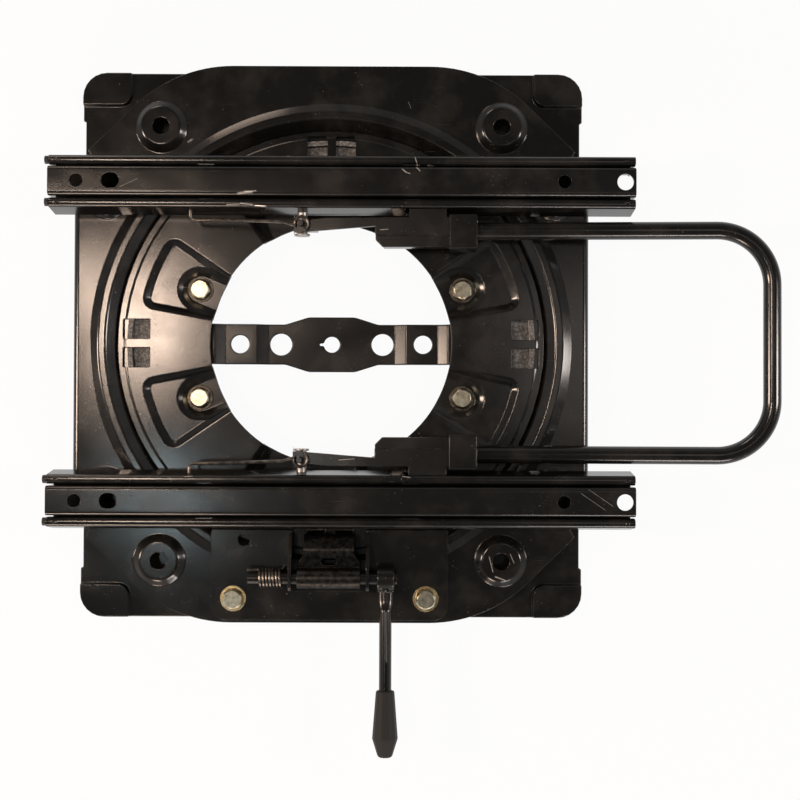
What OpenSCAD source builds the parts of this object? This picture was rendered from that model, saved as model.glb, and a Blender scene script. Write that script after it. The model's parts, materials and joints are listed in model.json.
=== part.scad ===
// Swivel seat base with seat slides for a camper seat, in millimetres.
// The origin is on the swivel axis at the mounting plane. +Z is up, and the
// seat slides along X, towards the loop handle at +X.

/* [Lower plate] */
// Margin of the fixed plate round the retaining ring, along the slides
base_margin_x = 33; // [30:0.5:48]
// Margin of the fixed plate round the retaining ring, across the slides
base_margin_y = 51; // [48:0.5:68]
// Corner radius of the fixed plate
base_r = 20; // [12:1:30]
// Thickness of the large pressed plates
sheet = 2.5; // [2:0.1:3]
// Rise of the round platform above the mounting flange
platform_h = 7; // [6.8:0.1:10]
// Width of the round platform outside the retaining ring
platform_out = 18; // [16:0.5:20]
// Distance of the base bolts inside the fixed plate's ends
base_bolt_in = 30; // [25:0.5:34]
// Width of the rectangle of base bolts
base_bolt_y = 275; // [260:1:290]
// Diameter of the base bolt holes
base_bolt_d = 11; // [9:0.5:13]
// Rise of the corner pads
corner_h = 3; // [2:0.5:4]
// Length of a corner pad
corner_l = 40; // [30:1:46]
// Width of a corner pad
corner_w = 27; // [20:1:30]

/* [Retaining ring] */
// Outer radius of the retaining ring
ring_r = 172; // [171:0.5:173]
// Width of the retaining ring, from its rim to the central hole
ring_w = 74.5; // [73:0.5:80]
// Gap under the ring's rim, above the platform
ring_gap = 8; // [7.6:0.1:9]
// Width of the lowered outer lip of the rim
rim_w = 5; // [4:0.5:6]
// Number of pockets round the ring
pocket_n = 8; // [8:4:8]
// Distance of the pockets' outer edge inside the ring's rim
pocket_in = 15.5; // [15:0.5:20]
// Half angle of a pocket, in degrees
pocket_half = 11.8; // [10:0.1:12]
// Corner radius of a pocket
pocket_corner = 9.5; // [8:0.5:11]
// Run of a pocket's sloped wall
pocket_run = 5; // [3:0.5:6]
// Depth of a pocket
pocket_depth = 3.6; // [3:0.1:4.4]
// Distance of the ring bolts outside the central hole
ring_bolt_out = 17.5; // [16:0.5:20]
// Half width of the flat seat round a ring bolt
seat_half = 11.5; // [11:0.5:13]
// Run of the sloped wall round a bolt seat
seat_run = 7; // [5:0.5:8]
// Length of a latch window, from the rim inwards
window_l = 22; // [20:0.5:24]
// Width of a latch window
window_w = 16; // [15.5:0.5:17]
// Distance between the two windows of a pair
window_pitch = 23; // [22:0.5:25]

/* [Centre strap] */
// Thickness of the centre strap
strap_t = 3; // [2.5:0.5:4]
// Width of the strap's narrow ends
strap_w = 33; // [30:0.5:36]
// Width of the strap's middle
strap_mid_w = 45; // [40:0.5:50]
// Drop of each of the strap's two joggles
strap_drop = 3.8; // [3:0.1:4.2]

/* [Turntable] */
// Margin of the turning plate round the retaining ring, along the slides
top_margin_x = 36.5; // [34:0.5:39]
// Margin of the turning plate round the retaining ring, across the slides
top_margin_y = 53; // [51:0.5:56]
// Distance of the shoulder corners inside the side flanges
tip_in = 11.5; // [9.5:0.5:13.5]
// Distance of the shoulder corners inside the long edges
tip_drop = 69; // [66:0.5:72]
// Distance from the shoulder corners to the shoulders' upper end, along the slides
shoulder_l = 70.5; // [68:0.5:74]
// Radius of the rounded shoulders
shoulder_r = 115; // [90:1:118]
// Depth of the turned down side flanges
flange_h = 9; // [6:0.5:10]
// Distance of the bead's crest outside the retaining ring
bead_gap = 12.5; // [12:0.1:13]
// Height of the bead above the plate
bead_h = 3.5; // [2.5:0.1:3.6]
// Distance of the dome holes inside the turning plate's side flanges
dome_in_x = 71; // [69:0.5:73]
// Distance of the dome holes inside the turning plate's long edges
dome_in_y = 50; // [48:0.5:52]
// Diameter of the hole in each dome
dome_hole_d = 13.6; // [11:0.1:15]
// Outer radius of a dome
dome_r = 23; // [21:0.5:24]
// Height of the domes and rail pads
dome_h = 4.5; // [4.2:0.1:6]
// Distance of the rail pads inside the side flanges
pad_in = 27.5; // [27.1:0.1:28.5]
// Outer radius of a rail pad
pad_r = 19; // [18:0.1:19]

/* [Seat slides] */
// Length of each slide
rail_l = 460; // [440:1:480]
// Distance of the slides' middle ahead of the swivel axis
rail_x = 10; // [6:0.5:14]
// Distance between the two slides
rail_pitch = 250; // [249:0.5:251]
// Height of the lower rails
rail_h = 31; // [31:0.1:33]
// Thickness of the rail sheet
rail_t = 1.8; // [1.6:0.1:2]
// Width of the upper rails' web
web_w = 23.2; // [22:0.1:23.6]
// Height of the web above the lower rail
web_h = 2; // [1:0.1:3]
// Gap between the web and the curled lips
slit = 1.3; // [1:0.1:1.5]
// Width of the curled lobes
lobe_w = 7.3; // [7.1:0.1:7.6]
// Half width of the lower rail at its ball groove
groove_half = 23.5; // [23.4:0.1:23.8]
// Travel of the slides to each side of the middle
travel = 96; // [72:12:96]
// Pitch of the locking notches
notch_pitch = 12; // [11.8:0.1:12.2]
// Diameter of the bearing balls
ball_d = 3.5; // [3:0.1:3.6]
// Distance of the rear seat bolts behind the swivel axis
seat_rear_x = 197.5; // [190:0.5:200]
// Distance of the front seat bolts ahead of the swivel axis
seat_front_x = 184; // [180:0.5:188]
// Diameter of the seat bolt holes
seat_hole_d = 10.2; // [8:0.1:11]

/* [Slide handle] */
// Diameter of the loop handle's bar
bar_d = 14; // [12:0.5:14]
// Distance of the cross bar ahead of the swivel axis
bar_reach = 348; // [320:1:380]
// Distance between the two legs of the loop
bar_pitch = 177; // [176:0.5:178]
// Bend radius at the bar's centre line
bar_bend = 43; // [36:1:50]
// Lift of the handle when the slides are free, in degrees
handle_lift = 3; // [2.8:0.1:3.2]
// Thickness of the lock lever plates
lever_t = 3; // [2.5:0.1:3.2]
// Width of one comb tooth
tooth_w = 5.6; // [5:0.1:6]

/* [Swivel latch] */
// Length of the latch plate
latch_l = 190; // [184:1:196]
// Distance of the latch plate's outer edge inside the turning plate's
latch_edge = 3; // [2:0.5:5]
// Thickness of the latch plate and its bracket
latch_t = 2.5; // [2:0.1:3]
// Distance between the two latch bolts
latch_bolt_x = 154; // [150:1:160]
// Distance of the latch bolts inside the latch plate's outer edge
latch_bolt_in = 17.5; // [16:0.5:19]
// Distance of the latch shaft outside the retaining ring
shaft_out = 15; // [14:0.5:16]
// Diameter of the latch shaft
shaft_d = 10; // [9:0.5:11]
// Lift of the latch when the swivel is free, in degrees
latch_lift = 12; // [12:0.5:14]
// Diameter of the lever rod
rod_d = 10; // [8:0.5:11]
// Rise of the lever rod when the latch is locked, in degrees
rod_rise = 14; // [13:0.5:20]
// Distance of the lever rod's end from the swivel axis
rod_reach = 326; // [300:1:350]
// Length of the lever grip
grip_l = 53; // [45:1:60]

/* [Hidden] */
$fn = 96;

// Small distances
eps = 0.01;
run = 0.05;
gap = 0.3;
wall_bend = 2.5;

// Heights of the fixed part
platform_z = platform_h + sheet;
platform_r = ring_r + platform_out;
ring_hole_r = ring_r - ring_w;
ring_bolt_r = ring_hole_r + ring_bolt_out;
window_out = ring_r - 4;
window_in = window_out - window_l;
ring_z = platform_z + ring_gap;
ring_top = ring_z + sheet;
pocket_z = ring_z - pocket_depth;
pocket_r = ring_r - pocket_in;
glide_t = 3;
base_hole_r = ring_hole_r + 3.5;

// Outlines of the two plates
base_l = 2 * (ring_r + base_margin_x);
base_w = 2 * (ring_r + base_margin_y);
top_l = 2 * (ring_r + top_margin_x);
top_w = 2 * (ring_r + top_margin_y);
tip_x = top_l / 2 - tip_in;
tip_y = top_w / 2 - tip_drop;
shoulder_x = tip_x - shoulder_l;
base_bolt_x = base_l - 2 * base_bolt_in;
dome_x = top_l - 2 * dome_in_x;
dome_y = top_w - 2 * dome_in_y;
pad_x = top_l / 2 - pad_in;

// Heights and radii of the turntable
lip_z = platform_z + glide_t;
lip_in = ring_r - 11.5;
bead_r = ring_r + bead_gap;
plate_z = ring_z;
plate_top = plate_z + sheet;
bead_in = ring_r + 1.5;
bead_out = 2 * bead_r - bead_in;
rail_z = plate_top + dome_h;
rail_y = rail_pitch / 2;
pad_y = rail_y - 8;
rivet_y = rail_y - 4;

// Heights and offsets in a slide's section
floor_top = rail_z + rail_t;
lobe_top = rail_z + rail_h;
web_top = lobe_top + web_h;
lip_y = web_w / 2 + slit + rail_t / 2;
lobe_y = lip_y + lobe_w - rail_t;
lobe_bend = (lobe_w - rail_t) / 2 - 0.05;
groove_y = groove_half - rail_t / 2;
groove_z = rail_z + 7;
hook_y = lip_y + rail_t + 0.7;
hook_z = floor_top + 3.7 + rail_t / 2;
hook_top = lobe_top - rail_t - 2.2;
rack_top = hook_z + 12.1;
notch_h = 3.5;
notch_w = tooth_w + 1;
rack_x = 66;
comb_n = 3;
notch_x = [-97, 64];
rear_end = rail_x - rail_l / 2;
front_end = rail_x + rail_l / 2;
end_hole_x = front_end - 8.5;
end_hole_d = 12.8;
floor_hole_d = 24;
slot_x = seat_rear_x - 26.5;
ball_y = (hook_y + rail_t / 2 + groove_y - rail_t / 2 - 0.25) / 2;
cage_l = 80;
cage_x = [rear_end + 50, front_end - 130];

// The lock levers and the loop handle, placed as when locked
lever_z = rack_top + gap;
lever_x = -22;
pin_d = 8;
pin_z = lever_z - pin_d / 2 - 2;
lever_in = 87;
lever_out = 98;
cover_in = 75;
cover_x = 36.5;
cover_end = 117;
cover_z = plate_top + bead_h + 1.5 + bar_d + 0.2;
bar_z = cover_z - 0.2 - bar_d / 2;
bar_y = bar_pitch / 2;
bar_start = 48;
clip_x = [95, 116.5];
clip_t = 2;
spring_d = 2.6;
spring_z = lever_z + lever_t + 3.6;
hook_x = lever_x - 88;
spring_hole_z = spring_z - 6;
spring_hole_d = spring_d + 2 * gap;

// The swivel latch, placed as when locked
latch_z = plate_top + bead_h + gap;
latch_top = latch_z + latch_t;
latch_in = rail_y + groove_half + 1.2;
shaft_y = ring_r + shaft_out;
latch_out = top_w / 2 - latch_edge;
latch_bolt_y = latch_out - latch_bolt_in;
shaft_z = latch_top + 11.7;
shaft_x = [-64, 54];
ear_x = 32;
pawl_half = 25;
pawl_t = 4.5;
tooth_out = lip_in - 1.7;
tooth_z = ring_z - 2.5;
collar_x = 45;
collar_r = shaft_d / 2 + 5;
rod_socket = 3.5;

// Fasteners
bolt_d = 10;
bolt_hex = 15;
bolt_flange = 20.5;
bolt_h = 8.2;
nut_h = 6.2;

black = [0.09, 0.09, 0.09];
satin = [0.14, 0.14, 0.14];
dark_nylon = [0.2, 0.2, 0.19];
zinc = [0.78, 0.70, 0.45];
steel = [0.62, 0.62, 0.60];
rubber = [0.05, 0.05, 0.05];

// Helpers for outlines and bent sheets

function unit(v) = v / norm(v);
function flat(v) = [v[0], v[1]];
function side(a, b) = sign(a[0] * b[1] - a[1] * b[0]);

// An arc that rounds corner c between points p and n with radius r
function corner(p, c, n, r) =
    let (a = unit(p - c), b = unit(n - c))
    let (half = acos(max(-1, min(1, a * b))) / 2)
    let (m = c + unit(a + b) * r / sin(half))
    let (s = c + a * r / tan(half) - m)
    let (start = atan2(s[1], s[0]), turn = (180 - 2 * half) * side(b, a))
    let (steps = max(2, ceil(abs(turn) / (r > 30 ? 3 : 15))))
    [for (i = [0 : steps]) m + r * [cos(start + turn * i / steps), sin(start + turn * i / steps)]];

// Points [x, y, radius] made into an open path, or a closed outline
function rounded(p, closed = true) =
    let (n = len(p))
    [for (i = [0 : n - 1])
        let (r = len(p[i]) > 2 ? p[i][2] : 0)
        let (end = !closed && (i == 0 || i == n - 1))
        each (end || r == 0 ? [flat(p[i])]
            : corner(flat(p[(i + n - 1) % n]), flat(p[i]), flat(p[(i + 1) % n]), r))];

// The path moved sideways by d
function beside(p, d) =
    let (n = len(p))
    [for (i = [0 : n - 1])
        let (v = i == 0 ? unit(p[1] - p[0]) : unit(p[i] - p[i - 1]))
        let (w = i == n - 1 ? v : unit(p[i + 1] - p[i]))
        let (m = unit([-v[1] - w[1], v[0] + w[0]]))
        p[i] + m * d / (m * [-v[1], v[0]])];

// A sheet of thickness t bent along an open path
module band(path, t) {
    p = rounded(path, false);
    a = beside(p, t / 2);
    b = beside(p, -t / 2);
    polygon(concat(a, [for (i = [len(b) - 1 : -1 : 0]) b[i]]));
}

// A profile drawn as [Y, Z] and drawn out along X
module along_x(x0, x1) {
    translate([x0, 0, 0]) rotate([90, 0, 90]) linear_extrude(x1 - x0) children();
}

// A profile drawn as [X, Z] and drawn out along Y
module along_y(y0, y1) {
    translate([0, y1, 0]) rotate([90, 0, 0]) linear_extrude(y1 - y0) children();
}

module block(x0, x1, y0, y1, z0, z1) {
    translate([x0, y0, z0]) cube([x1 - x0, y1 - y0, z1 - z0]);
}

module rounded_box(x0, x1, y0, y1, r) {
    polygon(rounded([[x0, y0, r], [x1, y0, r], [x1, y1, r], [x0, y1, r]]));
}

module four_ways(x, y) {
    for (sx = [-1, 1], sy = [-1, 1]) translate([sx * x, sy * y, 0]) children();
}

// A round bar swept along points, as a closed mesh
function ring_at(p, i, r, n) =
    let (last = len(p) - 1)
    let (t = unit(p[min(i + 1, last)] - p[max(i - 1, 0)]))
    let (ref = abs(t[2]) < 0.9 ? [0, 0, 1] : [0, 1, 0])
    let (u = unit(cross(ref, t)), v = cross(t, u))
    [for (k = [0 : n - 1]) p[i] + r * (cos(360 * k / n) * u + sin(360 * k / n) * v)];

module wire(p, r, n = 8) {
    skin([for (i = [0 : len(p) - 1]) ring_at(p, i, r, n)]);
}

// A closed mesh through loops with the same number of points
module skin(loops) {
    n = len(loops[0]);
    last = len(loops) - 1;
    walls = [for (i = [0 : last - 1], k = [0 : n - 1])
        [i * n + k, (i + 1) * n + k, (i + 1) * n + (k + 1) % n, i * n + (k + 1) % n]];
    caps = [[for (k = [0 : n - 1]) k], [for (k = [n - 1 : -1 : 0]) last * n + k]];
    polyhedron([for (loop = loops) each loop], concat(walls, caps));
}

// A hexagon flange bolt standing on z = 0, with its shank below
module flange_bolt(shank) {
    cylinder(d = bolt_flange, h = 1.6);
    cylinder(d1 = bolt_flange - 2, d2 = bolt_hex, h = 3);
    intersection() {
        cylinder(d = bolt_hex / cos(30), h = bolt_h, $fn = 6);
        cylinder(d1 = bolt_hex + 14, d2 = bolt_hex - 1.6, h = bolt_h + eps);
    }
    translate([0, 0, -shank]) cylinder(d = bolt_d, h = shank + 1);
}

module hex_nut() {
    translate([0, 0, -nut_h]) difference() {
        cylinder(d = bolt_hex / cos(30), h = nut_h, $fn = 6);
        translate([0, 0, -1]) cylinder(d = bolt_d + 2 * run, h = nut_h + 2);
    }
}

// The lower plate, pressed with a round platform and four corner pads

module base_outline() {
    l = base_l / 2;
    w = base_w / 2;
    polygon(rounded([[-l, -w, base_r], [l, -w, base_r], [l, w, base_r], [-l, w, base_r]]));
}

module corner_shape(inset) {
    x0 = base_l / 2 - corner_l + inset;
    y0 = base_w / 2 - corner_w + inset;
    far = 40;
    for (sx = [0, 1], sy = [0, 1]) mirror([sx, 0]) mirror([0, sy])
        rounded_box(x0, base_l / 2 + far, y0, base_w / 2 + far, 9 - inset);
}

module base_sides() {
    strip = 2;
    far = base_w / 2 - corner_w - 13;
    for (s = [-1, 1]) translate([s * base_l / 2, 0]) square([2 * strip, 2 * far], center = true);
}

module lower_plate() {
    slope = 4;
    mid = sheet / 2;
    foot_r = platform_r + slope;
    color(black) difference() {
        union() {
            linear_extrude(sheet) difference() {
                base_outline();
                circle(r = foot_r + 1, $fn = 180);
                corner_shape(sheet);
                base_sides();
            }
            translate([0, 0, corner_h]) linear_extrude(sheet) intersection() {
                base_outline();
                corner_shape(0);
            }
            linear_extrude(corner_h + sheet / 2) intersection() {
                base_outline();
                difference() {
                    corner_shape(0);
                    corner_shape(sheet);
                }
            }
            rotate_extrude($fn = 180) band([[base_hole_r, platform_h + mid],
                [platform_r, platform_h + mid, 3], [foot_r - 1, mid, 2.5],
                [foot_r + 1 + eps, mid]], sheet);
        }
        four_ways(base_bolt_x / 2, base_bolt_y / 2)
            translate([0, 0, -1]) cylinder(d = base_bolt_d, h = sheet + 2);
        bolt_stations() cylinder(d = bolt_d + 2 * run, h = platform_z + 1);
        strap_stations() cylinder(d = 6 + 2 * run, h = platform_z + 1);
    }
}

module ring_stations() {
    for (i = [0 : pocket_n - 1]) rotate((i + 0.5) * 360 / pocket_n) children();
}

// The four bolts, in the pockets on both sides of the strap's ends
module bolt_stations() {
    for (s = [0, 180], t = [-1, 1]) rotate(s + t * 180 / pocket_n) translate([ring_bolt_r, 0, 0]) children();
}

// The centre strap and its rivets

module strap_stations() {
    for (sx = [-1, 1], sy = [-1, 1]) translate([sx * (base_hole_r + 9), sy * strap_w / 4, 0]) children();
}

module centre_strap() {
    end_x = base_hole_r + 18;
    mid = strap_t / 2;
    z0 = platform_z + mid;
    z1 = z0 - strap_drop;
    z2 = z1 - strap_drop;
    n = strap_w / 2;
    w = strap_mid_w / 2;
    steps = [[end_x, z0, 0], [base_hole_r - 6, z0, 3], [base_hole_r - 14, z1, 3],
        [base_hole_r - 40, z1, 3], [base_hole_r - 49, z2, 3]];
    last = len(steps) - 1;
    outer_x = base_hole_r - 26.4;
    inner_x = base_hole_r - 59.5;
    color(satin) difference() {
        intersection() {
            along_y(-w, w) band(concat([for (p = steps) [-p[0], p[1], p[2]]],
                [for (i = [last : -1 : 0]) steps[i]]), strap_t);
            linear_extrude(platform_z + strap_t + 1) polygon(rounded([[-end_x, -n, 3], [-38, -n, 8],
                [-19, -w, 12], [19, -w, 12], [38, -n, 8], [end_x, -n, 3],
                [end_x, n, 3], [38, n, 8], [19, w, 12], [-19, w, 12], [-38, n, 8], [-end_x, n, 3]]));
        }
        for (h = [[-outer_x, 14.8], [-inner_x, 17.8], [0, 13], [inner_x, 17.8], [outer_x, 14.8]])
            translate([h[0], 0, -1]) cylinder(d = h[1], h = platform_z + strap_t + 2);
        block(-10, 0, -1, 1, -1, platform_z);
        strap_stations() cylinder(d = 6 + 2 * run, h = platform_z + strap_t + 1);
    }
}

module strap_rivets() {
    z = platform_z + strap_t;
    color(satin) strap_stations() {
        translate([0, 0, z]) cylinder(d1 = 11, d2 = 7, h = 1.8);
        translate([0, 0, platform_h]) cylinder(d = 6, h = z - platform_h + 1);
        translate([0, 0, platform_h - 1.5]) cylinder(d1 = 8, d2 = 11, h = 1.5);
    }
}

// The retaining ring, with pockets, bolt seats and latch windows

// A pocket's outline moved inwards, at its station on the X axis
function pocket_line(inset) =
    let (r0 = ring_hole_r - 12, r1 = pocket_r - inset, n = 12)
    let (b = pocket_half - asin(inset / r1), c = pocket_half - asin(inset / r0), rr = pocket_corner - inset)
    let (arc = [for (i = [0 : n]) let (t = -b + 2 * b * i / n) r1 * [cos(t), sin(t)]])
    rounded(concat([r0 * [cos(-c), sin(-c)]], [concat(arc[0], [rr])],
        [for (i = [3 : n - 3]) arc[i]], [concat(arc[n], [rr])], [r0 * [cos(c), sin(c)]]));

// The outline of a bolt's seat, open towards the central hole
function seat_line(inset) =
    let (r = seat_half + seat_run - inset, x0 = ring_hole_r - 12)
    concat([[x0, -r]], [for (a = [-90 : 15 : 90]) [ring_bolt_r + r * cos(a), r * sin(a)]], [[x0, r]]);

// The sloped wall between two levels as [inset, height], on one face of the sheet
function wall_line(run, low, high, d) =
    let (w = atan((high - low) / run), f = wall_bend * tan(w / 2))
    let (q = beside([[run + f + 1, low], [run + f, low], [run - f * cos(w), low + f * sin(w)],
        [f * cos(w), high - f * sin(w)], [-f, high], [-f - 1, high]], -d))
    [for (i = [1 : 4]) q[i] + [0, i == 4 ? eps : 0]];

// A pressing: the wall's levels, and one more that closes it at the top
function pressing(levels, top) = concat(levels, [[levels[len(levels) - 1][0], top]]);

module pocket_space(d, top) {
    levels = pressing(wall_line(pocket_run, pocket_z + sheet / 2, ring_z + sheet / 2, d), top);
    skin([for (l = levels) [for (p = pocket_line(l[0])) [p[0], p[1], l[1]]]]);
}

module seat_space(d, top) {
    levels = pressing(wall_line(seat_run, platform_z + sheet / 2, pocket_z + sheet / 2, d), top);
    skin([for (l = levels) [for (p = seat_line(l[0])) [p[0], p[1], l[1]]]]);
}

module trough(z0, z1) {
    translate([0, 0, z0]) linear_extrude(z1 - z0) children();
}

module retaining_ring() {
    mid = ring_z + sheet / 2;
    color(black) difference() {
        union() {
            rotate_extrude($fn = 180) band([[ring_hole_r - 6, mid], [ring_r - rim_w - 1.5, mid, 1.5],
                [ring_r - rim_w, mid - 0.8, 1.5], [ring_r, mid - 0.8]], sheet);
            ring_stations() {
                pocket_space(-sheet / 2, ring_z + sheet / 2);
                seat_space(-sheet / 2, pocket_z + sheet / 2);
            }
        }
        ring_stations() {
            pocket_space(sheet / 2, ring_top + 1);
            seat_space(sheet / 2, pocket_z + sheet + 1);
        }
        translate([0, 0, platform_z - 1]) cylinder(r = ring_hole_r, h = ring_gap + sheet + 2, $fn = 180);
        for (a = [0 : 90 : 270]) rotate(a) for (s = [-1, 1])
            trough(ring_z - 1, ring_top + 1)
                translate([0, s * window_pitch / 2]) rounded_box(window_in, window_out,
                    -window_w / 2, window_w / 2, 1);
        bolt_stations() translate([0, 0, platform_z - 1]) cylinder(d = bolt_d + 2 * run, h = sheet + 2);
    }
}

module ring_bolts() {
    color(zinc) bolt_stations() translate([0, 0, platform_z + sheet]) rotate(12)
        flange_bolt(2 * sheet + nut_h);
}

module ring_nuts() {
    color(zinc) bolt_stations() translate([0, 0, platform_h]) hex_nut();
}

module lower_glide_ring() {
    r0 = window_in - 4;
    r1 = platform_r - 4;
    color(dark_nylon) translate([0, 0, platform_z]) difference() {
        cylinder(r = r1, h = glide_t, $fn = 180);
        translate([0, 0, -1]) cylinder(r = r0, h = glide_t + 2, $fn = 180);
    }
}

module upper_glide_ring() {
    z0 = lip_z + sheet + 0.1;
    color(dark_nylon) translate([0, 0, z0]) difference() {
        cylinder(r = ring_r - rim_w - 2, h = ring_z - z0, $fn = 180);
        translate([0, 0, -1]) cylinder(r = lip_in + 0.5, h = ring_gap, $fn = 180);
    }
}

// The turning plate, with its bead, domes, rail pads and side flanges

module top_outline() {
    side_x = top_l / 2 - 8;
    side_y = tip_y - 18;
    q = [[side_x, side_y, 2], [tip_x - 3, tip_y - 14, 1], [tip_x - 3, tip_y - 5, 1], [tip_x, tip_y, 1],
        [shoulder_x, top_w / 2, shoulder_r]];
    n = len(q);
    polygon(rounded(concat(
        q, [for (i = [n - 1 : -1 : 0]) [-q[i][0], q[i][1], q[i][2]]],
        [for (i = [0 : n - 1]) [-q[i][0], -q[i][1], q[i][2]]],
        [for (i = [n - 1 : -1 : 0]) [q[i][0], -q[i][1], q[i][2]]])));
}

module boss(r, h, flat_r, hole_r) {
    mid = plate_z + sheet / 2;
    rotate_extrude()
        band([[hole_r, mid + h], [flat_r, mid + h, 3], [r - 2.5, mid, 3], [r + eps, mid]], sheet);
}

module upper_plate() {
    mid = plate_z + sheet / 2;
    flange_y = tip_y - 24;
    color(black) difference() {
        union() {
            translate([0, 0, plate_z]) linear_extrude(sheet) difference() {
                top_outline();
                circle(r = bead_out, $fn = 180);
                four_ways(dome_x / 2, dome_y / 2) circle(r = dome_r);
                four_ways(pad_x, pad_y) circle(r = pad_r);
            }
            rotate_extrude($fn = 180) band([
                [lip_in, lip_z + sheet / 2], [bead_in - 1, lip_z + sheet / 2, 2.5],
                [bead_r - 2.5, mid + bead_h, 3], [bead_r + 2.5, mid + bead_h, 3],
                [bead_out - 1.5, mid, 2], [bead_out + eps, mid]], sheet);
            four_ways(dome_x / 2, dome_y / 2) boss(dome_r, dome_h, 15, dome_hole_d / 2);
            four_ways(pad_x, pad_y) boss(pad_r, dome_h, 12.5, 0);
            for (s = [0, 1]) mirror([s, 0, 0]) along_y(-flange_y, flange_y)
                band([[top_l / 2 - 8 - eps, mid], [top_l / 2 - sheet / 2, mid, 4],
                    [top_l / 2 - sheet / 2, plate_top - flange_h]], sheet);
        }
        for (s = [-1, 1]) translate([s * latch_bolt_x / 2, -latch_bolt_y, plate_z - 1])
            cylinder(d = bolt_d + 2 * run, h = sheet + 2);
        four_ways(pad_x, rivet_y) translate([0, 0, plate_z])
            cylinder(d = 10 + 2 * run, h = dome_h + 2 * sheet);
    }
}

// The seat slides

module lower_section() {
    half = [[lip_y, lobe_top - 11], [lip_y, lobe_top - rail_t / 2, lobe_bend],
        [lobe_y, lobe_top - rail_t / 2, lobe_bend], [groove_y, groove_z, 4],
        [groove_y - 3.6, rail_z + rail_t / 2, 2.5]];
    n = len(half);
    band(concat([for (p = half) [-p[0], p[1], len(p) > 2 ? p[2] : 0]],
        [for (i = [n - 1 : -1 : 0]) half[i]]), rail_t);
}

module upper_section() {
    web_y = (web_w - rail_t) / 2;
    half = [[hook_y, hook_top], [hook_y, hook_z, 2.2], [web_y, hook_z, 2.2],
        [web_y, web_top - rail_t / 2, 2.4]];
    n = len(half);
    band(concat([for (p = half) [-p[0], p[1], len(p) > 2 ? p[2] : 0]],
        [for (i = [n - 1 : -1 : 0]) half[i]]), rail_t);
}

// Stop notches in the curled lips, where the slit widens
module slit_notches() {
    l = 13;
    edge = lip_y - rail_t / 2 + 1.6;
    for (x = notch_x, s = [0, 1]) mirror([0, s, 0]) translate([x, 0, hook_top + 0.4])
        linear_extrude(rail_h) rounded_box(-l / 2, l / 2, web_w / 2, edge, 0.7);
}

// A rail at the left, with its inner side towards -Y
module lower_rail() {
    difference() {
        along_x(rear_end, front_end) lower_section();
        slit_notches();
        for (x = [-pad_x, pad_x]) translate([x, rivet_y - rail_y, rail_z - 1])
            cylinder(d = 10 + 2 * run, h = rail_t + 2);
        translate([end_hole_x - 2, 0, rail_z - 1]) cylinder(d = floor_hole_d, h = rail_t + 2);
        block(rack_x - 6, rack_x + (comb_n - 1) * notch_pitch + 5, -groove_half - 1, -hook_y - 1,
            rack_top - notch_h - 0.6, lobe_top - 2.4);
        translate([lever_x, 0, pin_z]) rotate([90, 0, 0])
            cylinder(d = pin_d + 2 * run, h = groove_half + 2);
        translate([hook_x, -hook_y - rail_t, spring_hole_z]) rotate([90, 0, 0])
            cylinder(d = spring_hole_d, h = groove_half);
    }
}

module upper_rail() {
    low0 = rack_x - travel - 10;
    low1 = rack_x + (comb_n - 1) * notch_pitch + travel + 10;
    first = ceil((low0 + notch_w - rack_x) / notch_pitch);
    last = floor((low1 - notch_w - rack_x) / notch_pitch);
    difference() {
        along_x(rear_end, front_end) upper_section();
        for (x = [-seat_rear_x, seat_front_x]) translate([x, 0, web_top - 5])
            cylinder(d = seat_hole_d, h = 6);
        translate([end_hole_x, 0, web_top - 5]) cylinder(d = end_hole_d, h = 6);
        for (s = [-1, 1]) translate([s - slot_x, 0, web_top - 5]) cylinder(d = 12, h = 6);
        block(-slot_x - 1, -slot_x + 1, -6, 6, web_top - 5, web_top + 1);
        block(low0, low1, -hook_y - 2, -hook_y + 2, rack_top, hook_top + 1);
        for (i = [first : last]) {
            x = rack_x + i * notch_pitch;
            block(x - notch_w / 2, x + notch_w / 2, -hook_y - 2, -hook_y + 2,
                rack_top - notch_h, rack_top + 1);
        }
    }
}

// Mirrors what is drawn for the left side to the right
module on_left() { translate([0, rail_y, 0]) children(); }
module on_right() { mirror([0, 1, 0]) translate([0, rail_y, 0]) children(); }

module left_lower_rail() { color(black) on_left() lower_rail(); }
module right_lower_rail() { color(black) on_right() lower_rail(); }
module left_upper_rail() { color(satin) on_left() upper_rail(); }
module right_upper_rail() { color(satin) on_right() upper_rail(); }

module rail_rivets() {
    pad_top = rail_z - sheet;
    color(satin) four_ways(pad_x, rivet_y) {
        translate([0, 0, floor_top]) cylinder(d1 = 15, d2 = 12, h = 1.6);
        translate([0, 0, pad_top]) cylinder(d = 10, h = floor_top - pad_top + 1);
        translate([0, 0, pad_top - 1.6]) cylinder(d1 = 12, d2 = 14, h = 1.6);
    }
}

module cage_places() {
    for (s = [0, 1]) mirror([0, s, 0]) on_left() for (x = cage_x, t = [-1, 1])
        translate([x, t * ball_y, groove_z]) children();
}

module ball_cages() {
    hole_d = ball_d + 0.3;
    color(dark_nylon) cage_places() difference() {
        block(0, cage_l, -0.6, 0.6, -2.1, 4.4);
        for (i = [0 : 3]) translate([10 + i * 20, 1, 0]) rotate([90, 0, 0]) cylinder(d = hole_d, h = 2);
    }
}

module rail_balls() {
    color(steel) cage_places() for (i = [0 : 3]) translate([10 + i * 20, 0, 0]) sphere(d = ball_d, $fn = 32);
}

module plug_section(half, top) {
    polygon(rounded([[-half, hook_top + gap], [half, hook_top + gap], [half, top, half - 0.05],
        [-half, top, half - 0.05]]));
}

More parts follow.
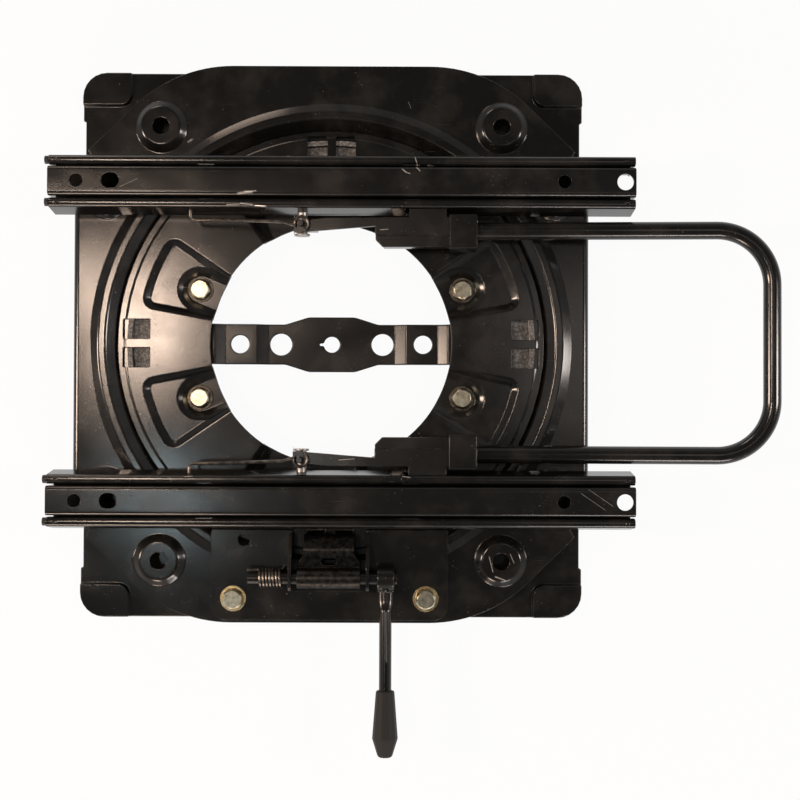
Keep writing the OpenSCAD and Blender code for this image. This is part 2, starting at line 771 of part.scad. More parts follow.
module rail_end_plugs() {
    y = (lip_y + lobe_y) / 2;
    color(dark_nylon) for (s = [0, 1]) mirror([0, s, 0]) on_left() for (t = [-1, 1]) translate([0, t * y, 0]) {
        along_x(rear_end - 1, rear_end + 6)
            plug_section(lobe_w / 2 - rail_t - 0.1, lobe_top - rail_t - 0.1);
        along_x(rear_end - 3, rear_end) plug_section(lobe_w / 2 - 0.4, lobe_top - 0.2);
    }
}

// The slide lock and its loop handle

module lifted() {
    translate([lever_x, 0, pin_z]) rotate([0, -handle_lift, 0]) translate([-lever_x, 0, -pin_z]) children();
}

// The lever at the left: a plate with a comb at the rail, an ear for the pin,
// and a folded cover over the end of the handle's leg
module lock_lever() {
    comb0 = rack_x - tooth_w / 2;
    comb1 = rack_x + (comb_n - 1) * notch_pitch + tooth_w / 2;
    comb_y = rail_y - hook_y + rail_t / 2 + 0.4;
    tooth_y = rail_y - hook_y - rail_t / 2 - 0.4;
    plate_top_z = lever_z + lever_t;
    difference() {
        union() {
            translate([0, 0, lever_z]) linear_extrude(lever_t) polygon(rounded([
                [lever_x - 6, lever_out - 3, 2], [lever_x - 6, lever_in - 1, 2],
                [cover_x, lever_in + 4], [cover_x, lever_in - 1],
                [cover_end, lever_in - 1], [cover_end, lever_out, 1],
                [comb1, lever_out], [comb1, comb_y], [comb0, comb_y], [comb0, lever_out],
                [0, lever_out, 4]]));
            for (i = [0 : comb_n - 1]) {
                x = rack_x + i * notch_pitch;
                block(x - tooth_w / 2, x + tooth_w / 2, tooth_y, comb_y,
                    lever_z - notch_h + 0.4, lever_z + eps);
            }
            block(lever_x - 6, lever_x + 12, lever_in + 1, lever_in + 1 + lever_t,
                pin_z - 6, lever_z + eps);
            block(cover_x, cover_end, lever_in - lever_t, lever_in, cover_z, plate_top_z);
            difference() {
                block(cover_x, cover_end, cover_in, lever_in, cover_z, cover_z + lever_t);
                translate([cover_x, cover_in, cover_z - 1]) rotate(45)
                    cube([8, 8, 2 * lever_t + 2], center = true);
            }
            block(cover_x + 6, cover_end, cover_in, cover_in + lever_t - 0.5, bar_z - 2, cover_z + eps);
            translate([lever_x, lever_in + 6, plate_top_z - eps]) cylinder(d = 5, h = 7);
        }
        translate([lever_x, lever_in, pin_z]) rotate([-90, 0, 0])
            cylinder(d = pin_d + 2 * run, h = 12, center = true);
    }
}

module left_lock_lever() { color(satin) lifted() lock_lever(); }
module right_lock_lever() { color(satin) lifted() mirror([0, 1, 0]) lock_lever(); }

module lever_pins() {
    y0 = lever_in - 1;
    y1 = rail_y - hook_y - rail_t / 2 - 2;
    color(steel) for (s = [0, 1]) mirror([0, s, 0]) translate([lever_x, y0, pin_z]) rotate([-90, 0, 0]) {
        translate([0, 0, -1.6]) cylinder(d = pin_d + 4, h = 1.6);
        cylinder(d = pin_d, h = y1 - y0);
        translate([0, 0, lever_t + 2.2]) cylinder(d = pin_d + 3, h = 2);
    }
}

// The wire spring at the left, looped round the stud and hooked into the rail's wall
module lever_spring() {
    z = spring_z;
    sx = lever_x;
    sy = lever_in + 6;
    loop = 5.2;
    hook_end = rail_y - hook_y - rail_t / 2 - 1.5;
    arc = [for (a = [-60 : 20 : 200]) [sx + loop * cos(a), sy + loop * sin(a), z]];
    tail = [[sx - 14, sy + 1, z], [sx - 40, sy + 2, z - 1.5], [sx - 66, sy + 3, z - 3],
        [hook_x + 5, sy + 3, z - 5.2], [hook_x + 1.5, sy + 3.6, z - 5.8],
        [hook_x, sy + 6, spring_hole_z], [hook_x, hook_end, spring_hole_z]];
    wire(concat(arc, tail), spring_d / 2);
}

module left_lever_spring() { color(steel) lever_spring(); }
module right_lever_spring() { color(steel) mirror([0, 1, 0]) lever_spring(); }

module handle_clips() {
    z1 = lever_z + lever_t + clip_t;
    y0 = cover_in - clip_t / 2 - gap;
    y1 = lever_out + clip_t / 2 + gap;
    z0 = bar_z - bar_d / 2 - clip_t / 2 - gap;
    bend = clip_t / 2 + 0.2;
    color(black) lifted() for (s = [0, 1]) mirror([0, s, 0]) along_x(clip_x[0], clip_x[1])
        band([[y0 + 6, z0], [y0, z0, bend], [y0, z1 - clip_t / 2, bend],
            [y1, z1 - clip_t / 2, bend], [y1, bar_z]], clip_t);
}

module loop_handle() {
    corner_x = bar_reach - bar_bend;
    corner_y = bar_y - bar_bend;
    color(black) lifted() translate([0, 0, bar_z]) {
        for (s = [-1, 1]) {
            translate([bar_start, s * bar_y, 0]) rotate([0, 90, 0])
                cylinder(d = bar_d, h = corner_x - bar_start);
            translate([corner_x, s * corner_y, 0]) rotate(s > 0 ? 0 : -90)
                rotate_extrude(angle = 90) translate([bar_bend, 0]) circle(d = bar_d, $fn = 48);
        }
        translate([bar_reach, -corner_y, 0]) rotate([-90, 0, 0]) cylinder(d = bar_d, h = 2 * corner_y);
    }
}

// The swivel latch

module turned() {
    translate([0, -shaft_y, shaft_z]) rotate([latch_lift, 0, 0]) translate([0, shaft_y, -shaft_z]) children();
}

module latch_outline(inset) {
    l = latch_l / 2 - inset;
    r = 12 - inset;
    polygon(rounded([[-l, -latch_out + inset, r], [l, -latch_out + inset, r], [l, -latch_in - inset, 2],
        [pawl_half + 5 + inset, -latch_in - inset, 2], [pawl_half + 5 + inset, -latch_in - 24 - inset, 2],
        [-pawl_half - 5 - inset, -latch_in - 24 - inset, 2], [-pawl_half - 5 - inset, -latch_in - inset, 2],
        [-l, -latch_in - inset, 2]]));
}

module latch_plate() {
    color(black) difference() {
        union() {
            translate([0, 0, latch_z]) linear_extrude(latch_t) latch_outline(0);
            translate([0, 0, plate_top]) linear_extrude(latch_z - plate_top + eps) intersection() {
                difference() {
                    latch_outline(0);
                    latch_outline(latch_t);
                }
                difference() {
                    translate([-latch_l, -latch_out - 1]) square([2 * latch_l, 40]);
                    circle(r = bead_out + 1, $fn = 180);
                }
            }
            for (s = [-1, 1]) translate([s * latch_bolt_x / 2, -latch_bolt_y, plate_top])
                cylinder(d = 19, h = latch_z - plate_top + eps);
        }
        for (s = [-1, 1]) translate([s * latch_bolt_x / 2, -latch_bolt_y, plate_top - 1])
            cylinder(d = bolt_d + 2 * run, h = 12);
        translate([-68.5, -latch_in - 8, latch_z - 1]) cylinder(d = 10, h = latch_t + 2);
    }
}

module latch_bracket() {
    ear_t = latch_t;
    foot_in = shaft_y - 11.3;
    foot_out = shaft_y + 12;
    color(black) difference() {
        union() {
            block(-ear_x, ear_x, -foot_out, -foot_in, latch_top, latch_top + ear_t);
            for (s = [0, 1]) mirror([s, 0, 0]) along_x(ear_x - ear_t, ear_x) polygon(rounded([
                [-foot_out, latch_top], [-latch_in - 2, latch_top],
                [-latch_in - 2, latch_top + 6, 3], [-shaft_y + 9, shaft_z + 8, 6],
                [-shaft_y - 9, shaft_z + 8, 6], [-foot_out, latch_top + 6, 3]]));
        }
        translate([-ear_x - 1, -shaft_y, shaft_z]) rotate([0, 90, 0])
            cylinder(d = shaft_d + 2 * run, h = 2 * ear_x + 2);
    }
}

module latch_bolts() {
    color(zinc) for (s = [-1, 1]) translate([s * latch_bolt_x / 2, -latch_bolt_y, latch_top]) rotate(20)
        flange_bolt(latch_top - plate_z + nut_h + 1);
}

module latch_nuts() {
    color(zinc) for (s = [-1, 1]) translate([s * latch_bolt_x / 2, -latch_bolt_y, plate_z]) hex_nut();
}

module latch_shaft() {
    color(satin) translate([shaft_x[0], -shaft_y, shaft_z]) rotate([0, 90, 0])
        cylinder(d = shaft_d, h = shaft_x[1] - shaft_x[0]);
}

// The pawl: a barrel on the shaft, a waisted plate and two teeth
module latch_pawl() {
    hub_r = shaft_d / 2 + 3.5;
    arm_z = shaft_z - 4;
    tooth_half = window_w / 2 - 0.9;
    far = tooth_out - pawl_t;
    color(satin) turned() difference() {
        union() {
            translate([-pawl_half, -shaft_y, shaft_z]) rotate([0, 90, 0])
                cylinder(r = hub_r, h = 2 * pawl_half);
            intersection() {
                along_x(-pawl_half, pawl_half) band([[-shaft_y, arm_z], [-tooth_out - 6, arm_z, 3],
                    [-tooth_out + pawl_t / 2, arm_z - 6, 3], [-tooth_out + pawl_t / 2, tooth_z]], pawl_t);
                translate([0, 0, tooth_z - 1]) linear_extrude(shaft_z) polygon(rounded([
                    [-pawl_half, -shaft_y - 8], [pawl_half, -shaft_y - 8], [pawl_half, -shaft_y + 12, 3],
                    [20, -shaft_y + 18, 4], [20, -far + 4], [-20, -far + 4],
                    [-20, -shaft_y + 18, 4], [-pawl_half, -shaft_y + 12, 3]]));
            }
        }
        translate([-pawl_half - 1, -shaft_y, shaft_z]) rotate([0, 90, 0])
            cylinder(d = shaft_d + 2 * run, h = 2 * pawl_half + 2);
        for (s = [-1, 0, 1]) {
            x0 = s == 0 ? -window_pitch / 2 + tooth_half : s * (window_pitch / 2 + tooth_half);
            x1 = s == 0 ? window_pitch / 2 - tooth_half : s * 40;
            block(min(x0, x1), max(x0, x1), -tooth_out - 4, -far + 4, tooth_z - 1, ring_top + 5);
        }
        for (s = [-1, 1]) translate([s * 3.5, -shaft_y + 13, arm_z - 5]) cylinder(d = 5.5, h = 12);
        block(-3.5, 3.5, -shaft_y + 10.25, -shaft_y + 15.75, arm_z - 5, arm_z + 7);
    }
}

module latch_spring() {
    wire_r = 1.1;
    coil_r = shaft_d / 2 + wire_r + 0.6;
    turns = 7;
    pitch = 2 * wire_r + 0.4;
    x0 = -ear_x - 4.5 - turns * pitch;
    steps = 14;
    coil = [for (i = [0 : turns * steps]) let (a = 360 * i / steps)
        [x0 + pitch * i / steps, -shaft_y + coil_r * cos(a), shaft_z + coil_r * sin(a)]];
    leg = [[x0 + pitch * turns, -shaft_y + coil_r, shaft_z - 6],
        [x0 + pitch * turns + 1, -shaft_y + coil_r + 1, latch_top + wire_r + 0.1]];
    tip = [[x0 - 10, -shaft_y + coil_r, shaft_z], [x0 - 2, -shaft_y + coil_r, shaft_z]];
    color(steel) wire(concat(tip, coil, leg), wire_r);
}

// Along the lever rod: +Z runs out from the shaft's axis
module rod_axis() {
    turned() translate([collar_x, -shaft_y, shaft_z]) rotate([90 - rod_rise, 0, 0]) children();
}

module lever_collar() {
    half = rod_d / 2 + 2;
    color(satin) difference() {
        translate([collar_x - half, -shaft_y, shaft_z]) rotate([0, 90, 0])
            cylinder(r = collar_r, h = 2 * half);
        translate([collar_x - half - 1, -shaft_y, shaft_z]) rotate([0, 90, 0])
            cylinder(d = shaft_d + 2 * run, h = 2 * half + 2);
        rod_axis() translate([0, 0, collar_r - rod_socket]) cylinder(d = rod_d + 2 * run, h = collar_r);
    }
}

module lever_rod() {
    start = collar_r - rod_socket;
    color(satin) rod_axis() translate([0, 0, start]) cylinder(d = rod_d, h = rod_reach - shaft_y - start);
}

module lever_grip() {
    r = rod_d / 2;
    over = rod_reach - shaft_y + 3;
    color(rubber) rod_axis() translate([0, 0, over]) rotate([180, 0, 0]) difference() {
        rotate_extrude($fn = 48) polygon(rounded([[0, 0], [6, 0, 1.5], [r + 5.4, 13, 2], [r + 5.2, 17, 2],
            [r + 2.2, grip_l, 1], [0, grip_l]]));
        translate([0, 0, 3]) cylinder(r = r + run, h = grip_l);
    }
}

lower_plate();
centre_strap();
strap_rivets();
retaining_ring();
ring_bolts();
ring_nuts();
lower_glide_ring();
upper_glide_ring();
upper_plate();
left_lower_rail();
right_lower_rail();
rail_rivets();
left_upper_rail();
right_upper_rail();
ball_cages();
rail_balls();
rail_end_plugs();
left_lock_lever();
right_lock_lever();
lever_pins();
left_lever_spring();
right_lever_spring();
handle_clips();
loop_handle();
latch_plate();
latch_bracket();
latch_bolts();
latch_nuts();
latch_shaft();
latch_pawl();
latch_spring();
lever_collar();
lever_rod();
lever_grip();
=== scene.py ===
"""Looks of a swivel seat base with seat slides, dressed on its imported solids."""
import json
import logging
import math
from dataclasses import dataclass
from enum import Enum
from typing import Any, Optional, Sequence, Union

import bpy
from mathutils import Matrix, Vector

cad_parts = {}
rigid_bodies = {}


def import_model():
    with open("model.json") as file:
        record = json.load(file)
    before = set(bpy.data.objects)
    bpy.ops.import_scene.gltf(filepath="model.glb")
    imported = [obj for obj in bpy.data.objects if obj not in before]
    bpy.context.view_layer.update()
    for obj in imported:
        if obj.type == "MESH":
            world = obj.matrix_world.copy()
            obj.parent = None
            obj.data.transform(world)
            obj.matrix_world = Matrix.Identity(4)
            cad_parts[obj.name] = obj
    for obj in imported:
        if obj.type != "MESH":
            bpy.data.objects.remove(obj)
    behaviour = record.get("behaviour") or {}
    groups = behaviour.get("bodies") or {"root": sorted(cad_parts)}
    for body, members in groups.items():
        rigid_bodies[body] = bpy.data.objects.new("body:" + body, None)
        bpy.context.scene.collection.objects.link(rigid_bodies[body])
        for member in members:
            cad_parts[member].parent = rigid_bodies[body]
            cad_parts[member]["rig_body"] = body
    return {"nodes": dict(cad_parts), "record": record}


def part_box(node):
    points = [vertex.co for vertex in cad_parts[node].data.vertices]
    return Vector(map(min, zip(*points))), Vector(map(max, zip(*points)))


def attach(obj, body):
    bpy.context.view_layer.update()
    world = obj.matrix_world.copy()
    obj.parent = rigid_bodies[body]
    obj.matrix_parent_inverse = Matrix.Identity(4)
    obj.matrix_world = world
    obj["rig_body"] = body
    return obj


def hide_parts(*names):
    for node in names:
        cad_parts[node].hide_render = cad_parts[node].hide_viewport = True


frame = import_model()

LOG = logging.getLogger("seat_base")
MM = 0.001
NEAR = 0.00001
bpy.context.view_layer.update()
Point = tuple[float, float, float]
Colour = tuple[float, float, float]


class Sock:
    """A shader socket that takes part in Python expressions."""

    def __init__(self, graph: "Graph", socket: bpy.types.NodeSocket) -> None:
        """Keep the socket and the graph that it belongs to."""
        self.graph = graph
        self.socket = socket

    def math(self, operation: str, other: Any = None, swap: bool = False) -> "Sock":
        """Add one Math node.

        Args:
            operation: The node's operation.
            other: The second value or socket, if the operation takes one.
            swap: Whether the other value comes first.

        Returns:
            The node's result.
        """
        values = [self] if other is None else ([other, self] if swap else [self, other])
        return self.graph.node("ShaderNodeMath", {"operation": operation}, dict(enumerate(values)))

    def __add__(self, other: Any) -> "Sock":
        """Return the sum."""
        return self.math("ADD", other)

    __radd__ = __add__

    def __sub__(self, other: Any) -> "Sock":
        """Return the difference."""
        return self.math("SUBTRACT", other)

    def __rsub__(self, other: Any) -> "Sock":
        """Return the other value less this one."""
        return self.math("SUBTRACT", other, swap=True)

    def __mul__(self, other: Any) -> "Sock":
        """Return the product."""
        return self.math("MULTIPLY", other)

    def __pow__(self, other: Any) -> "Sock":
        """Return the power."""
        return self.math("POWER", other)

    def __abs__(self) -> "Sock":
        """Return the absolute value."""
        return self.math("ABSOLUTE")

    def most(self, other: Any) -> "Sock":
        """Return the larger of the two."""
        return self.math("MAXIMUM", other)

    def ramp(self, low: float, high: float, start: float = 0.0, end: float = 1.0) -> "Sock":
        """Map the stretch from low to high smoothly onto start to end.

        Args:
            low: The value that gives start.
            high: The value that gives end.
            start: The result below low.
            end: The result above high.

        Returns:
            The mapped value.
        """
        if low > high:
            low, high, start, end = high, low, end, start
        settings = {"interpolation_type": "SMOOTHSTEP", "clamp": True}
        return self.graph.node("ShaderNodeMapRange", settings, {0: self, 1: low, 2: high, 3: start, 4: end})


class Graph:
    """The node tree of one material or of the world."""

    def __init__(self, tree: bpy.types.NodeTree) -> None:
        """Start with an empty tree."""
        self.tree = tree
        self.tree.nodes.clear()

    def node(self, kind: str, settings: Optional[dict[str, Any]] = None,
             inputs: Optional[dict[Union[int, str], Any]] = None, out: Union[int, str] = 0) -> Sock:
        """Add a node.

        Args:
            kind: The node's type.
            settings: Its own settings, which are set first.
            inputs: The values or links of its sockets.
            out: The output that is returned.

        Returns:
            The chosen output.
        """
        made = self.tree.nodes.new(kind)
        for name, value in (settings or {}).items():
            setattr(made, name, value)
        for name, value in (inputs or {}).items():
            if isinstance(value, Sock):
                self.tree.links.new(value.socket, made.inputs[name])
            elif value is not None:
                made.inputs[name].default_value = value
        return Sock(self, made.outputs[out] if made.outputs else made.inputs[0])

    def place(self) -> Sock:
        """Return the place on the piece, in metres."""
        return self.node("ShaderNodeTexCoord", out="Object")

    def axes(self) -> tuple[Sock, Sock, Sock]:
        """Return the three parts of the place."""
        parts = self.node("ShaderNodeSeparateXYZ", inputs={0: self.place()})
        outputs = parts.socket.node.outputs
        return parts, Sock(self, outputs[1]), Sock(self, outputs[2])

    def stretched(self, scale: Point, turn: float = 0.0) -> Sock:
        """Return the place, turned about Z and scaled axis by axis."""
        settings = {"Scale": scale, "Rotation": (0.0, 0.0, turn)}
        return self.node("ShaderNodeMapping", inputs={"Vector": self.place(), **settings})

    def noise(self, scale: float, detail: float = 2.0, roughness: float = 0.5,
              at: Optional[Sock] = None) -> Sock:
        """Return a noise between 0 and 1.

        Args:
            scale: Cells in a metre, or in a unit of the given place.
            detail: The number of finer layers.
            roughness: The strength of the finer layers.
            at: The place to read, if not the piece's own.

        Returns:
            The noise.
        """
        inputs = {"Vector": at or self.place(), "Scale": scale, "Detail": detail, "Roughness": roughness}
        return self.node("ShaderNodeTexNoise", inputs=inputs)

    def blend(self, share: Any, first: Any, second: Any) -> Sock:
        """Mix two colours by a share."""
        colours = [value if isinstance(value, Sock) else (*value, 1.0) for value in (first, second)]
        settings = {"data_type": "RGBA", "clamp_factor": True}
        return self.node("ShaderNodeMix", settings, {0: share, 6: colours[0], 7: colours[1]}, out=2)

    def bump(self, height: Sock, depth: float, normal: Optional[Sock] = None) -> Sock:
        """Return the normal raised by a height of at most the given depth in metres."""
        inputs = {"Height": height, "Distance": depth, "Strength": 1.0, "Normal": normal}
        return self.node("ShaderNodeBump", inputs=inputs)


@dataclass(frozen=True)
class ScrapeOrPaintedHighlight:
    """A bare scrape, or a pale streak that is a painted highlight, in millimetres."""

    start: tuple[float, float]
    end: tuple[float, float]
    width: float
    strength: float = 1.0


@dataclass(frozen=True)
class Finish:
    """What every finish has: a name and a soft edge."""

    name: str
    edge: float = 0.6

    def graph(self) -> tuple[bpy.types.Material, Graph]:
        """Return a new material and its graph."""
        material = bpy.data.materials.new(self.name)
        material.use_nodes = True
        return material, Graph(material.node_tree)

    def edge_normal(self, graph: Graph) -> Sock:
        """Return a normal that is rounded near the edges."""
        return graph.node("ShaderNodeBevel", {"samples": 4}, {"Radius": self.edge * MM})

    def close(self, graph: Graph, inputs: dict[str, Any]) -> None:
        """Add the shader and the output."""
        shader = graph.node("ShaderNodeBsdfPrincipled", inputs=inputs)
        graph.node("ShaderNodeOutputMaterial", inputs={"Surface": shader})


@dataclass(frozen=True)
class Paint(Finish):
    """Black stoving paint on steel, with dust, rubbed edges, scrapes and painted highlights.

    Depths are in millimetres, and scales in cells in a metre.
    """

    colour: Colour = (0.0055, 0.0052, 0.0049)
    gloss: float = 0.09
    wave: float = 0.05
    peel: float = 0.008
    dust: float = 1.0
    wear: float = 0.5
    hairs: float = 0.0
    scrapes_and_highlights: tuple[ScrapeOrPaintedHighlight, ...] = ()
    wave_scale: float = 11.0
    peel_scale: float = 420.0
    speck_scale: float = 780.0
    film_scale: float = 26.0
    ragged_scale: float = 900.0
    rubbed_scale: float = 150.0
    hair_stretch: float = 22.0
    core: float = 0.6
    dull: Colour = (0.30, 0.27, 0.24)
    hair: Colour = (0.22, 0.19, 0.16)
    bare_and_highlight: Colour = (0.78, 0.74, 0.68)

    def scraped_and_highlit(self, graph: Graph) -> Optional[Sock]:
        """Return the mask of all scrapes and painted highlights, or None."""
        if not self.scrapes_and_highlights:
            return None
        x, y, _ = graph.axes()
        ragged = graph.noise(self.ragged_scale, 3.0, 0.7)
        total: Optional[Sock] = None
        for mark in self.scrapes_and_highlights:
            ax, ay, bx, by = (value * MM for value in (*mark.start, *mark.end))
            dx, dy = bx - ax, by - ay
            length = math.hypot(dx, dy)
            ux, uy = dx / length, dy / length
            along = (x - ax) * ux + (y - ay) * uy
            across = (x - ax) * -uy + (y - ay) * ux
            over = (abs(along - length / 2) - length / 2).most(0.0)
            reach = (over * over + across * across) ** 0.5
            width = mark.width * MM
            frayed = reach + (ragged - 0.5) * width
            mask = frayed.ramp(width * self.core, 0.0) * mark.strength
            total = mask if total is None else total.most(mask)
        return total

    def haired(self, graph: Graph) -> Sock:
        """Return the mask of fine hairline scratches in two directions."""
        total: Optional[Sock] = None
        for turn, across in ((0.7, 1500.0), (-0.5, 1900.0)):
            at = graph.stretched((self.hair_stretch, across, 1.0), turn)
            lines = graph.noise(1.0, 1.0, 0.5, at).ramp(0.73, 0.76)
            total = lines if total is None else total.most(lines)
        patches = graph.noise(19.0, 2.0, 0.5).ramp(0.54, 0.66)
        return total * patches * (self.hairs * 0.35)

    def build(self) -> bpy.types.Material:
        """Return the finished material."""
        material, graph = self.graph()
        soft = self.edge_normal(graph)
        waves = graph.noise(self.wave_scale, 1.0, 0.4)
        peel = graph.noise(self.peel_scale, 2.0, 0.5)
        normal = graph.bump(waves, self.wave * MM, graph.bump(peel, self.peel * MM, soft))
        specks = graph.noise(self.speck_scale, 1.0, 0.5).ramp(0.72, 0.78)
        specks = specks * graph.noise(60.0, 2.0, 0.5).ramp(0.52, 0.7)
        film = graph.noise(self.film_scale, 4.0, 0.6).ramp(0.42, 0.72)
        dust = (specks * 0.55 + film * 0.05) * self.dust
        flat = graph.node("ShaderNodeNewGeometry", out="Normal")
        dot = {"operation": "DOT_PRODUCT"}
        bent = graph.node("ShaderNodeVectorMath", dot, {0: soft, 1: flat}, out="Value")
        worn = graph.noise(self.rubbed_scale, 3.0, 0.6).ramp(0.50, 0.66)
        rubbed = bent.ramp(0.985, 0.90) * worn * self.wear
        scraped_and_highlit = self.scraped_and_highlit(graph)
        colour = graph.blend(dust, self.colour, self.dull)
        colour = graph.blend(rubbed, colour, self.dull)
        if self.hairs > 0.0:
            colour = graph.blend(self.haired(graph), colour, self.hair)
        metal = rubbed * 0.6
        # Scrapes show bare steel; the same mask and pale colour also paint highlights.
        if scraped_and_highlit is not None:
            colour = graph.blend(scraped_and_highlit, colour, self.bare_and_highlight)
            metal = metal.most(scraped_and_highlit * 0.7)
        rough = self.gloss + graph.noise(34.0, 3.0, 0.6) * 0.12 + dust * 0.5
        self.close(graph, {"Base Color": colour, "Metallic": metal, "Roughness": rough, "Normal": normal,
                           "IOR": 1.5})
        return material


@dataclass(frozen=True)
class Steel(Finish):
    """Bare, phosphated or plated steel, with a fine grain and a change of tone."""

    light: Colour = (0.55, 0.53, 0.50)
    dark: Colour = (0.30, 0.28, 0.26)
    rough: float = 0.32
    scale: float = 260.0
    grain: float = 0.02
    finer: float = 6.0

    def build(self) -> bpy.types.Material:
        """Return the finished material."""
        material, graph = self.graph()
        soft = self.edge_normal(graph)
        cloud = graph.noise(self.scale, 4.0, 0.65)
        colour = graph.blend(cloud.ramp(0.35, 0.65), self.dark, self.light)
        normal = graph.bump(graph.noise(self.scale * self.finer, 2.0, 0.5), self.grain * MM, soft)
        rough = self.rough + cloud * 0.15
        self.close(graph, {"Base Color": colour, "Metallic": 1.0, "Roughness": rough, "Normal": normal})
        return material


@dataclass(frozen=True)
class Moulding(Finish):
    """Moulded rubber or nylon with a fine matt grain."""

    colour: Colour = (0.02, 0.02, 0.02)
    rough: float = 0.6
    mottle: float = 0.0
    grain_scale: float = 1500.0
    spot_scale: float = 520.0
    grain_depth: float = 0.03
    paler: float = 0.25

    def build(self) -> bpy.types.Material:
        """Return the finished material."""
        material, graph = self.graph()
        soft = self.edge_normal(graph)
        grain = graph.noise(self.grain_scale, 3.0, 0.6)
        pale = tuple(min(1.0, value + self.paler) for value in self.colour)
        spots = graph.noise(self.spot_scale, 4.0, 0.75).ramp(0.45, 0.62) * self.mottle
        colour = graph.blend(spots, self.colour, pale)
        self.close(graph, {"Base Color": colour, "Roughness": self.rough + grain * 0.15,
                           "Normal": graph.bump(grain, self.grain_depth * MM, soft)})
        return material


class Look(Enum):
    """The finishes by the part of the seat base that wears them."""

    PRESSED = Paint("pressed_paint")
    TURNTABLE = Paint("turntable_paint", hairs=0.5, scrapes_and_highlights=(
        ScrapeOrPaintedHighlight((128, -171), (131, -183), 0.9, 0.6),
        ScrapeOrPaintedHighlight((133, -187), (141, -190), 1.2, 0.7),
        ScrapeOrPaintedHighlight((145, -169), (148, -176), 0.8, 0.5),
        # This mark on the top-left dome's slope is a painted highlight, a glint drawn as a scrape.
        ScrapeOrPaintedHighlight((-116, 163), (-113, 165), 1.8, 0.5),
        ScrapeOrPaintedHighlight((62, 196), (64, 191), 0.6, 0.3)))
    RAIL = Paint("rail_paint", gloss=0.11, wave=0.03, wear=0.6, edge=0.5, hairs=0.7, scrapes_and_highlights=(
        ScrapeOrPaintedHighlight((-80, 106.6), (-70, 106.9), 1.0, 0.8),
        ScrapeOrPaintedHighlight((-69, 107.4), (-60, 106.6), 1.3),
        ScrapeOrPaintedHighlight((-58, 105.9), (-50, 105.5), 1.1),
        ScrapeOrPaintedHighlight((67, 144), (69, 138), 0.9, 0.8),
        ScrapeOrPaintedHighlight((77, 138.2), (82, 137.6), 0.9, 0.8),
        ScrapeOrPaintedHighlight((-33, 145.4), (-31, 145.6), 1.1, 0.9),
        ScrapeOrPaintedHighlight((58, -105.4), (64, -106.2), 0.8, 0.6),
        ScrapeOrPaintedHighlight((-112, -106.2), (-106, -105.6), 0.8, 0.5)))
    SLIDE = Paint("slide_paint", gloss=0.11, wave=0.03, wear=0.6, edge=0.5, hairs=0.9, scrapes_and_highlights=(
        ScrapeOrPaintedHighlight((-71, 115.2), (-60, 116.2), 1.7),
        ScrapeOrPaintedHighlight((-66, 116.6), (-57, 117.0), 0.9, 0.7),
        ScrapeOrPaintedHighlight((68, 136), (71, 133), 0.9, 0.8),
        ScrapeOrPaintedHighlight((57, 134.5), (60, 132), 1.1, 0.9),
        ScrapeOrPaintedHighlight((60, 132), (63, 131), 0.8, 0.8),
        ScrapeOrPaintedHighlight((-163, 120), (-150, 126), 0.5, 0.35),
        ScrapeOrPaintedHighlight((197, -118), (216, -131), 0.4, 0.4),
        ScrapeOrPaintedHighlight((203, -115), (222, -128), 0.4, 0.4)))
    SMALL = Paint("small_part_paint", gloss=0.14, wave=0.0, peel=0.010, wear=0.9, edge=0.5)
    LEVER = Paint("lever_paint", gloss=0.12, wave=0.0, wear=1.0, edge=0.5, hairs=0.8, scrapes_and_highlights=(
        ScrapeOrPaintedHighlight((117, 94), (112, 95), 1.6, 0.9),
        ScrapeOrPaintedHighlight((40, 88), (46, 88.5), 0.7, 0.6),
        ScrapeOrPaintedHighlight((8, -93), (20, -92), 0.7, 0.6)))
    BAR = Paint("bar_paint", gloss=0.10, wave=0.0, peel=0.006, wear=0.2, edge=0.2, hairs=0.4)
    # The rod's pale streak is a painted highlight along its top, drawn as a scrape.
    ROD = Paint("rod_paint", gloss=0.11, wave=0.0, peel=0.012, wear=0.5, edge=0.2, scrapes_and_highlights=(
        ScrapeOrPaintedHighlight((45.4, -213), (45.9, -251), 1.5, 0.16),))
    ZINC = Steel("yellow_zinc", light=(0.72, 0.58, 0.32), dark=(0.50, 0.37, 0.18), rough=0.22, grain=0.005,
                 edge=0.15)
    HEAD = Steel("head_zinc", light=(0.62, 0.60, 0.48), dark=(0.42, 0.38, 0.28), rough=0.22, grain=0.005,
                 edge=0.15)
    WASHER = Steel("dark_washer", light=(0.16, 0.14, 0.11), dark=(0.06, 0.05, 0.04), rough=0.34)
    PIN = Steel("pin_steel", light=(0.46, 0.44, 0.42), dark=(0.26, 0.25, 0.24), rough=0.34)
    LATCH = Steel("latch_steel", light=(0.055, 0.052, 0.05), dark=(0.02, 0.019, 0.018), rough=0.28)
    WIRE = Steel("spring_wire", light=(0.24, 0.21, 0.18), dark=(0.09, 0.08, 0.07), rough=0.28, edge=0.1)
    BALL = Steel("ball_steel", light=(0.75, 0.75, 0.75), dark=(0.62, 0.62, 0.62), rough=0.12, grain=0.0,
                 edge=0.1)
    GLIDE = Moulding("glide_nylon", colour=(0.085, 0.08, 0.075), rough=0.40, mottle=0.9)
    PLUG = Moulding("plug_nylon", colour=(0.012, 0.012, 0.012), rough=0.4)
    RUBBER = Moulding("grip_rubber", colour=(0.008, 0.0075, 0.007), rough=0.6)


SLOT_LOOKS: dict[str, Look] = {
    "black_paint": Look.PRESSED,
    "satin_paint": Look.SMALL,
    "rail_paint": Look.RAIL,
    "handle_paint": Look.BAR,
    "yellow_zinc": Look.ZINC,
    "pin_steel": Look.PIN,
    "latch_steel": Look.LATCH,
    "spring_steel": Look.WIRE,
    "ball_steel": Look.BALL,
    "glide_nylon": Look.GLIDE,
    "plug_nylon": Look.PLUG,
    "grip_rubber": Look.RUBBER,
}


